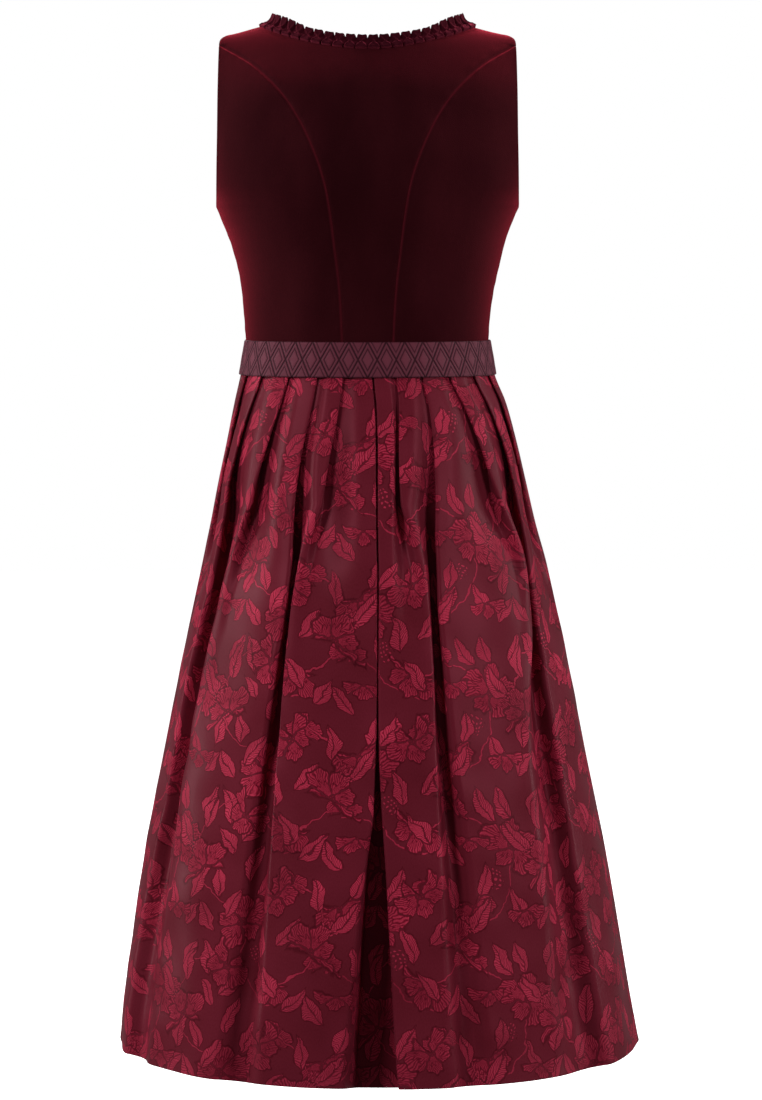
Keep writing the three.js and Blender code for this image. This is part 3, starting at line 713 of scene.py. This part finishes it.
def skirt_panel(name, node, face, left_edges, right_edges, u_start, seed):
    ups = SKIRT_TOP_UP + (HEM_UP - SKIRT_TOP_UP) * np.linspace(0, 1, SKIRT_ROW_COUNT) ** 1.22
    hem_runs = {}
    outer, inner, uv = [], [], []
    for up in ups[::-1]:  # from the hem, which sets how much cloth each pleat has
        ring = Ring(column(SKIRT, "half", up), column(SKIRT, face, up))
        drift = column(SKIRT, "drift", up)
        middle = (edge_share(left_edges[0], up) - edge_share(right_edges[0], up)) / 2 * ring.length
        halves = []
        for side, edges, start in ((1, left_edges, middle), (-1, right_edges, -middle)):
            s, h, marks = pleat_profile(ring, edges, start, up)
            run = cloth_run(s, h, marks, hem_runs.get(side), up, edges)
            if side not in hem_runs:
                hem_runs[side] = [run[top] for _, top in marks]
            below = SKIRT_TOP_UP - up
            at = side * s
            loose = smooth(np.clip(below / 260, 0, 1)) * (1 - bell(ring.length - s, 16))
            waves = 2.2 * ripples(at, up * 0.3, 90, seed) + 0.7 * ripples(at, up, 60, seed + 1)
            h = h + loose * waves
            over_hem = up - HEM_UP
            h = h - 0.55 * bell(over_hem - HEM_TURN_UP, 2.4) + 0.5 * bell(over_hem - 2, 5)
            hanging = up + HEM_SAG * np.minimum(h, 0) * (1 - smooth(np.clip(over_hem / 160, 0, 1)))
            ds, dh = offset_path(s, h, JACQUARD / 2)
            middle_h = h - JACQUARD / 2
            ends = [
                ring.points(side * (s + k * ds), middle_h + k * dh, face, drift, hanging)
                for k in (1, -1)
            ]
            halves.append((ends[0], ends[1], side * run))
        left, right = halves
        height = (up - HEM_UP) * 1.04
        outer.append(np.concatenate([left[0][::-1], right[0][1:]]))
        inner.append(np.concatenate([left[1][::-1], right[1][1:]]))
        u = np.concatenate([left[2][::-1], right[2][1:]]) + u_start
        uv.append(np.stack([u, np.full_like(u, height)], -1))
    outer, inner, uv = (np.array(x)[::-1] for x in (outer, inner, uv))
    piece = cloth_wall(name, outer, inner, uv, [jacquard, jacquard_back])
    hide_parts(node)
    return piece


# ---- Materials ------------------------------------------------------------------------------


class Value:
    """A shader value that is written in formulas like a number."""

    def __init__(self, tree, socket):
        self.tree, self.socket = tree, socket

    def math(self, operation, *values):
        node = self.tree.nodes.new("ShaderNodeMath")
        node.operation = operation
        for slot, value in zip(node.inputs, values):
            feed(self.tree, slot, value)
        return Value(self.tree, node.outputs[0])

    def __add__(self, other):
        return self.math("ADD", self, other)

    def __sub__(self, other):
        return self.math("SUBTRACT", self, other)

    def __rsub__(self, other):
        return self.math("SUBTRACT", other, self)

    def __mul__(self, other):
        return self.math("MULTIPLY", self, other)

    def __truediv__(self, other):
        return self.math("DIVIDE", self, other)

    def __abs__(self):
        return self.math("ABSOLUTE", self)

    def power(self, other):
        return self.math("POWER", self, other)

    def triangle(self):
        """A wave of period 1 from 0 up to 0.5 and down again."""
        return self.math("PINGPONG", self, 0.5)

    def floor(self):
        return self.math("FLOOR", self)

    def sine(self):
        return self.math("SINE", self)

    def larger(self, other):
        return self.math("MAXIMUM", self, other)

    def smaller(self, other):
        return self.math("MINIMUM", self, other)

    def ramp(self, low, high):
        """0 at low, 1 at high, smooth between."""
        node = self.tree.nodes.new("ShaderNodeMapRange")
        node.interpolation_type = "SMOOTHSTEP"
        feed(self.tree, node.inputs["Value"], self)
        node.inputs["From Min"].default_value = low
        node.inputs["From Max"].default_value = high
        return Value(self.tree, node.outputs["Result"])

    def towards(self, other, share):
        node = self.tree.nodes.new("ShaderNodeMix")
        node.data_type = "FLOAT"
        feed(self.tree, node.inputs[0], share)
        feed(self.tree, node.inputs[2], self)
        feed(self.tree, node.inputs[3], other)
        return Value(self.tree, node.outputs[0])


def feed(tree, slot, value):
    if isinstance(value, Value):
        tree.links.new(value.socket, slot)
    elif isinstance(value, bpy.types.NodeSocket):
        tree.links.new(value, slot)
    else:
        slot.default_value = value


def new_material(name):
    material = bpy.data.materials.new(name)
    material.use_nodes = True
    tree = material.node_tree
    return material, tree, tree.nodes["Principled BSDF"]


def cloth_place(tree):
    """The place on the cloth, in millimetres."""
    node = tree.nodes.new("ShaderNodeUVMap")
    node.uv_map = "cloth"
    scaled = tree.nodes.new("ShaderNodeVectorMath")
    scaled.operation = "SCALE"
    tree.links.new(node.outputs[0], scaled.inputs[0])
    scaled.inputs["Scale"].default_value = 1 / MM
    return scaled.outputs[0]


def object_place(tree):
    return tree.nodes.new("ShaderNodeTexCoord").outputs["Object"]


def split(tree, vector):
    node = tree.nodes.new("ShaderNodeSeparateXYZ")
    tree.links.new(vector, node.inputs[0])
    return Value(tree, node.outputs[0]), Value(tree, node.outputs[1])


def joined(tree, x, y):
    node = tree.nodes.new("ShaderNodeCombineXYZ")
    feed(tree, node.inputs[0], x)
    feed(tree, node.inputs[1], y)
    return node.outputs[0]


def length_of(tree, vector):
    node = tree.nodes.new("ShaderNodeVectorMath")
    node.operation = "LENGTH"
    tree.links.new(vector, node.inputs[0])
    return Value(tree, node.outputs["Value"])


def placed(tree, vector, at=(0, 0), turn=0.0, size=(1, 1)):
    """A vector seen from a motif's own centre, turned with it and in its own size."""
    node = tree.nodes.new("ShaderNodeMapping")
    node.vector_type = "TEXTURE"
    tree.links.new(vector, node.inputs["Vector"])
    node.inputs["Location"].default_value = (*at, 0)
    node.inputs["Rotation"].default_value = (0, 0, math.radians(turn))
    node.inputs["Scale"].default_value = (*size, 1)
    return node.outputs[0]


def noise(tree, vector, scale, detail=2.0, stretch=(1, 1, 1), output="Fac"):
    mapping = tree.nodes.new("ShaderNodeMapping")
    tree.links.new(vector, mapping.inputs["Vector"])
    mapping.inputs["Scale"].default_value = [scale * k for k in stretch]
    node = tree.nodes.new("ShaderNodeTexNoise")
    node.inputs["Scale"].default_value = 1.0
    node.inputs["Detail"].default_value = detail
    tree.links.new(mapping.outputs[0], node.inputs["Vector"])
    return Value(tree, node.outputs[output])


def colours(tree, share, *stops):
    """A colour on a ramp of (place, (r, g, b)) stops."""
    node = tree.nodes.new("ShaderNodeValToRGB")
    feed(tree, node.inputs[0], share)
    ramp = node.color_ramp
    while len(ramp.elements) < len(stops):
        ramp.elements.new(0.5)
    for element, (place, colour) in zip(ramp.elements, stops):
        element.position = place
        element.color = (*colour, 1)
    return node.outputs[0]


def blended(tree, share, first, second):
    node = tree.nodes.new("ShaderNodeMix")
    node.data_type = "RGBA"
    feed(tree, node.inputs[0], share)
    feed(tree, node.inputs[6], first)
    feed(tree, node.inputs[7], second)
    return node.outputs[2]


def bump(tree, shader, height, distance, strength=1.0):
    node = tree.nodes.new("ShaderNodeBump")
    node.inputs["Distance"].default_value = distance
    node.inputs["Strength"].default_value = strength
    feed(tree, node.inputs["Height"], height)
    tree.links.new(node.outputs[0], shader.inputs["Normal"])


# Painted sheen: the lighter colour of the seam lines, where a rolled seam edge would catch the light.
PAINTED_SEAM_SHEEN_COLOUR = (0.058, 0.0050, 0.0090, 1)


def make_velvet(name, deep, lit, sheen):
    material, tree, shader = new_material(name)
    place = object_place(tree)
    brushed = noise(tree, place, 16, 3.0, (1, 1, 0.45))
    pile = noise(tree, place, 1300, 1.0)
    share = brushed * 0.75 + pile * 0.25
    seam_sheen_share = tree.nodes.new("ShaderNodeAttribute")
    seam_sheen_share.attribute_name = "painted_seam_sheen"  # painted sheen: a lighter colour along each seam stands in for the sheen on its rolled edge
    standing = colours(tree, share, (0.35, deep), (0.7, lit))
    base = blended(tree, seam_sheen_share.outputs["Fac"], standing, PAINTED_SEAM_SHEEN_COLOUR)
    feed(tree, shader.inputs["Base Color"], base)
    feed(tree, shader.inputs["Roughness"], pile.towards(brushed, 0.5) * 0.25 + 0.72)
    shader.inputs["Specular IOR Level"].default_value = 0.05
    shader.inputs["Specular Tint"].default_value = (1.0, 0.25, 0.35, 1)
    shader.inputs["Sheen Weight"].default_value = 1.0
    shader.inputs["Sheen Roughness"].default_value = 0.42
    shader.inputs["Sheen Tint"].default_value = (*sheen, 1)
    bump(tree, shader, pile + brushed * 0.6, 0.0006, 0.5)
    return material


def make_reverse(name, dark, light):
    """The plain reverse side of a cloth."""
    material, tree, shader = new_material(name)
    place = object_place(tree)
    weave = noise(tree, place, 900, 1.0, (1, 1, 0.4))
    feed(tree, shader.inputs["Base Color"], colours(tree, weave, (0.3, dark), (0.7, light)))
    shader.inputs["Roughness"].default_value = 0.85
    shader.inputs["Specular IOR Level"].default_value = 0.1
    bump(tree, shader, weave, 0.0003, 0.5)
    return material


def make_band():
    material, tree, shader = new_material("band_weave")
    place = cloth_place(tree)
    u, v = split(tree, place)
    across = (u + DIAMOND / 2) / DIAMOND + 0.5
    metric = across.triangle() * 2.0
    metric = metric + abs(v) * (0.98 / (BAND_WIDTH / 2))
    rings = abs(metric - 1.0).ramp(0.16, 0.03)
    rings = rings.larger(abs(metric - 0.6).ramp(0.12, 0.02) * 0.8)
    rings = rings.larger(abs(metric - 1.4).ramp(0.12, 0.02) * 0.7)
    ribs = (v * (2 * math.pi / 1.5)).sine() * 0.5 + 0.5
    threads = noise(tree, place, 0.9, 2.0, (2.2, 0.8, 1))
    light = (1.0 - rings) * 0.72 + threads * 0.28
    light = light + metric.ramp(0.5, 0.3) * 0.12
    # Painted shade: the weave is darker along the band's top and bottom edges, where the cloth rolls
    # in.
    edge = abs(v).ramp(BAND_WIDTH / 2 - 1.3, BAND_WIDTH / 2 - 0.4)
    light = light - edge * 0.35
    base = colours(
        tree,
        light,
        (0.15, (0.020, 0.0018, 0.0050)),
        (0.55, (0.062, 0.0090, 0.0180)),
        (1.0, (0.125, 0.0240, 0.0400)),
    )
    feed(tree, shader.inputs["Base Color"], base)
    feed(tree, shader.inputs["Roughness"], rings * 0.15 + 0.58)
    shader.inputs["Specular IOR Level"].default_value = 0.2
    shader.inputs["Specular Tint"].default_value = (1.0, 0.6, 0.7, 1)
    shader.inputs["Sheen Weight"].default_value = 0.08
    shader.inputs["Sheen Tint"].default_value = (0.9, 0.5, 0.6, 1)
    height = (1.0 - rings) * 0.7 + ribs * 0.25 + threads * 0.3
    bump(tree, shader, height, 0.0006, 0.7)
    return material


# The skirt's own flower pattern: two half-drop lattices of motifs, laid over each other.
CELL = (138.0, 168.0)
BLOSSOMS = {
    # x, y, radius, petals, turn, half sector (180 is a whole flower), seed
    "first": [
        (44, 57, 25, 5, 95, 118, 1.3),
        (34, -45, 34, 6, -112, 104, 7.7),
        (-20, 16, 37, 5, 24, 180, 3.1),
    ],
    "second": [
        (42, -56, 24, 4, -96, 92, 4.4),
        (-38, 50, 30, 5, -72, 150, 9.2),
        (8, -12, 37, 6, 64, 106, 5.3),
    ],
}
LEAVES = {
    # x, y, half length, half width, turn of the leaf's axis from the vertical
    "first": [
        (8, 60, 21, 8.5, -30),
        (52, 8, 20, 8.5, -36),
        (-56, -26, 23, 9, 24),
        (-20, -50, 20, 8, -30),
        (-50, -64, 17, 7, 38),
        (-56, 60, 19, 8, 20),
    ],
    "second": [
        (44, 24, 23, 9, -40),
        (-52, -2, 22, 8.5, 14),
        (-34, -46, 20, 8, 32),
        (10, 48, 20, 8, 10),
        (54, 62, 18, 9, -14),
        (-2, -66, 19, 8, -38),
    ],
}
STEMS = {
    # centre and radius of the arc, and the half plane that it shows in
    "first": [(46, -10, 62, -1)],
    "second": [(-38, 10, 58, 1)],
}
BERRIES = {"first": (4, -20, 9, 12), "second": (26, 16, 8, 12)}


def lattice(tree, place, shift):
    """The place within its own cell of a half-drop lattice, every other column mirrored."""
    u, v = split(tree, place)
    across = u / CELL[0] + shift[0]
    column_number = across.floor()
    odd = column_number * 0.5
    odd = odd - odd.floor()
    x = (across - column_number - 0.5) * CELL[0]
    x = x * (1.0 - odd * 4.0)
    along = v / CELL[1] + odd + shift[1]
    y = (along - along.floor() - 0.5) * CELL[1]
    return joined(tree, x, y)


def leaf(tree, place, at_x, at_y, length, width, turn):
    """(inside, line work) of a pointed leaf with a midrib and slanted side veins."""
    x, y = split(tree, placed(tree, place, (at_x, at_y), turn, (width, length)))
    bent = x + y * y * 0.35
    side = abs(bent)
    inside = (1.0 - y * y) * (1.0 - y.smaller(1.0) * 0.3) - side
    veins = (y * 8.5 - side * 3.2).triangle().ramp(0.0, 0.34)
    return inside, (veins * 0.6 + 0.4) * side.ramp(0.02, 0.13)


def blossom(tree, place, at_x, at_y, radius, petals, turn, sector, seed):
    """(inside, line work) of an open flower, or of the part of it in a sector."""
    local = placed(tree, place, (at_x, at_y), turn, (radius, radius))
    x, y = split(tree, local)
    r = length_of(tree, local)
    angle = y.math("ARCTAN2", y, x)
    around = angle * (petals / (2 * math.pi)) + 0.5
    petal = around.triangle()  # 0 between petals, 0.5 in the middle of one
    rand = ((around.floor() + seed) * 2.399).sine()
    frill = (angle * 17.0 + seed).sine() * 0.03
    edge = (petal * 2.0).power(0.38) * 0.34 + rand * 0.13 + frill + 0.52
    inside = edge - r
    if sector < 180:
        inside = inside.smaller((math.radians(sector) - abs(angle)) * r.larger(0.15))
    between = (petal * r).ramp(0.008, 0.04)
    veins = (around * 11.0 + r * rand * 2.0).triangle().ramp(0.0, 0.4)
    veins = veins.towards(1.0, r.ramp(0.26, 0.1)) * 0.5 + 0.32 + inside.ramp(0.09, 0.0) * 0.3
    inner = abs(edge * 0.56 - frill * 3.0 - r).ramp(0.0, 0.05)
    middle = abs(r - 0.12).ramp(0.01, 0.045)
    return inside * 2.2, veins * between.smaller(middle) * (inner * 0.55 + 0.45)


def stem(tree, place, at_x, at_y, radius, side):
    local = placed(tree, place, (at_x, at_y))
    x, _ = split(tree, local)
    away = abs(length_of(tree, local) - radius)
    return (0.9 - away).smaller(x * side * 0.2) * 0.3


def berries(tree, place, at_x, at_y, half_x, half_y):
    x, y = split(tree, placed(tree, place, (at_x, at_y), 20))
    column_x, row_y = (x / 4.6).triangle(), (y / 4.6).triangle()
    dots = (column_x * column_x + row_y * row_y) * -4.6 + 0.34
    inside_x, inside_y = x / half_x, y / half_y
    return dots.smaller(1.0 - inside_x * inside_x - inside_y * inside_y)


def motifs(tree, cell, name):
    """Each motif of one lattice as (inside, line work), the lower ones first."""
    for row in STEMS[name]:
        yield stem(tree, cell, *row), 0.8
    for row in LEAVES[name]:
        yield leaf(tree, cell, *row)
    for row in BLOSSOMS[name]:
        yield blossom(tree, cell, *row)
    yield berries(tree, cell, *BERRIES[name]), 0.9


def flower_pattern(tree, place):
    """The weave's tone on the cloth: 0 ground, below 0 shaded, 0.2 to 1 dark to light motif."""
    tone = None
    for name, shift in (("first", (0.0, 0.0)), ("second", (0.5, 0.0))):
        cell = lattice(tree, place, shift)
        for inside, line_work in motifs(tree, cell, name):
            if tone is None:
                tone = inside * 0.0
            else:
                tone = tone.towards(-0.4, inside.ramp(-0.17, -0.01) * 0.85)
            tone = tone.towards(line_work, inside.ramp(-0.01, 0.1))
    return tone


def make_jacquard():
    material, tree, shader = new_material("jacquard_satin")
    flat = cloth_place(tree)
    warp_node = tree.nodes.new("ShaderNodeVectorMath")
    warp_node.operation = "MULTIPLY_ADD"
    drawn = noise(tree, flat, 0.045, 2.5, output="Color")
    tree.links.new(drawn.socket, warp_node.inputs[0])
    warp_node.inputs[1].default_value = (18, 18, 0)
    tree.links.new(flat, warp_node.inputs[2])
    tone = flower_pattern(tree, warp_node.outputs[0])
    covered = tone.ramp(0.04, 0.22)
    yarn = noise(tree, flat, 0.7, 2.0, (1.2, 0.5, 1))
    cloudy = noise(tree, flat, 0.014, 2.0)
    ground = colours(
        tree,
        cloudy * 0.5 + yarn * 0.3 + tone.smaller(0.0) * 0.7 + 0.2,
        (0.2, (0.044, 0.0026, 0.0062)),
        (0.48, (0.106, 0.0085, 0.0165)),
        (0.75, (0.140, 0.0130, 0.0255)),
    )
    motif = colours(
        tree,
        tone + yarn * 0.55 + cloudy * 0.5 - 0.62,
        (0.1, (0.062, 0.0022, 0.0080)),
        (0.5, (0.225, 0.0095, 0.0270)),
        (0.95, (0.520, 0.0360, 0.0800)),
    )
    height = split(tree, flat)[1]  # height over the hem; painted light: the flowers fade into the ground lower down, standing in for how the satin reflects the light there
    shown = covered * (cloudy * 1.3 + 0.2) * (height.ramp(-60.0, 340.0) * 0.36 + 0.64)
    feed(tree, shader.inputs["Base Color"], blended(tree, shown, ground, motif))
    feed(tree, shader.inputs["Roughness"], covered * 0.16 + yarn * 0.08 + 0.30)
    shader.inputs["Specular IOR Level"].default_value = 0.07
    shader.inputs["Specular Tint"].default_value = (1.0, 0.3, 0.4, 1)
    bump(tree, shader, yarn, 0.0002, 0.4)
    return material


velvet = make_velvet(
    "velvet_pile",
    deep=(0.0095, 0.0014, 0.0023),
    lit=(0.023, 0.0033, 0.0048),
    sheen=(1.0, 0.06, 0.11),
)
ruche_velvet = make_velvet(
    "ruche_pile",
    deep=(0.011, 0.0009, 0.0024),
    lit=(0.034, 0.0026, 0.0065),
    sheen=(0.85, 0.1, 0.18),
)
velvet_back = make_reverse("velvet_reverse", (0.020, 0.003, 0.006), (0.042, 0.006, 0.012))
jacquard_back = make_reverse("jacquard_reverse", (0.06, 0.006, 0.012), (0.10, 0.010, 0.019))
band = make_band()
jacquard = make_jacquard()


# ---- The dress ------------------------------------------------------------------------------

panels = {
    "back_center": back_center(),
    "back_side_left": back_side("back_side_left", 1),
    "back_side_right": back_side("back_side_right", -1),
    "front_left": front_panel("front_left", 1),
    "front_right": front_panel("front_right", -1),
}
ruche = neck_ruche()
belt = waistband()
skirt_back = skirt_panel(
    "skirt_back_cloth", "skirt_back", "back", BACK_LEFT_EDGES, BACK_RIGHT_EDGES, 0.0, 41
)
skirt_front = skirt_panel(
    "skirt_front_cloth", "skirt_front", "front", FRONT_EDGES, FRONT_EDGES, 1640.0, 67
)


# ---- Floor, light and camera ----------------------------------------------------------------


def make_floor():
    mesh = bpy.data.meshes.new("floor")
    corners = [(-9, -9, -1.42), (9, -9, -1.42), (9, 9, -1.42), (-9, 9, -1.42)]
    mesh.from_pydata(corners, [], [(0, 1, 2, 3)])
    material, tree, shader = new_material("pale_floor")
    grain = noise(tree, object_place(tree), 3.0, 2.0)
    feed(
        tree,
        shader.inputs["Base Color"],
        colours(tree, grain, (0.3, (0.93, 0.93, 0.93)), (0.7, (0.95, 0.95, 0.95))),
    )
    shader.inputs["Roughness"].default_value = 0.9
    shader.inputs["Emission Color"].default_value = (1, 1, 1, 1)
    shader.inputs["Emission Strength"].default_value = 1.0
    mesh.materials.append(material)
    floor = new_object("floor", mesh)
    floor.visible_diffuse = False
    floor.visible_glossy = False
    floor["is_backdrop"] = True


def aim(thing, place, target):
    """Puts a light or camera at a place, looking at a target."""
    direction = np.array(target, float) - np.array(place, float)
    thing.location = place
    flat_length = math.hypot(direction[0], direction[1])
    thing.rotation_euler = (
        math.pi / 2 + math.atan2(direction[2], flat_length),
        0,
        math.atan2(-direction[0], direction[1]),
    )


def soft_light(name, place, target, size, power):
    data = bpy.data.lights.new(name, "AREA")
    data.shape = "RECTANGLE"
    data.size, data.size_y = size
    data.energy = power
    light = new_object(name, data)
    aim(light, place, target)


make_floor()
MIDDLE = (0, 0, -0.55)
soft_light("key", (2.6, 2.3, 1.25), MIDDLE, (0.9, 1.4), 76)
soft_light("fill", (-2.7, 2.0, 0.5), MIDDLE, (0.9, 1.4), 48)
soft_light("left_rim", (2.5, -0.3, 0.2), MIDDLE, (0.8, 2.4), 46)
soft_light("right_rim", (-2.5, -0.3, 0.2), MIDDLE, (0.8, 2.4), 34)
soft_light("front_fill", (0.4, -3.2, 0.8), MIDDLE, (1.8, 2.0), 40)

# The background is white, and gives less light than that, as a lit backdrop in a dark room.
world = bpy.data.worlds.new("studio")
world.use_nodes = True
links, nodes = world.node_tree.links, world.node_tree.nodes
seen = nodes.new("ShaderNodeLightPath").outputs["Is Camera Ray"]
strength = nodes.new("ShaderNodeMapRange")
strength.inputs["To Min"].default_value = 0.15
strength.inputs["To Max"].default_value = 1.0
links.new(seen, strength.inputs["Value"])
links.new(strength.outputs["Result"], nodes["Background"].inputs["Strength"])
nodes["Background"].inputs["Color"].default_value = (1, 1, 1, 1)
bpy.context.scene.world = world
bpy.context.scene.view_settings.view_transform = "Standard"

CAMERA_PLACE, CAMERA_AIM, CAMERA_LENS = (0.0, 4.0, -0.234), (-0.0148, 0.0, -0.575), 117.9
camera_data = bpy.data.cameras.new("camera")
camera_data.sensor_width = 36.0
camera_data.lens = CAMERA_LENS
camera = new_object("camera", camera_data)
aim(camera, CAMERA_PLACE, CAMERA_AIM)
bpy.context.scene.camera = camera

# ---- Bounds of the imported frame and of the cloth made here --------------------------------

boxes = {"cad": cad_box, "visual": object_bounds()}
{name: [list(corner) for corner in box] for name, box in boxes.items()}
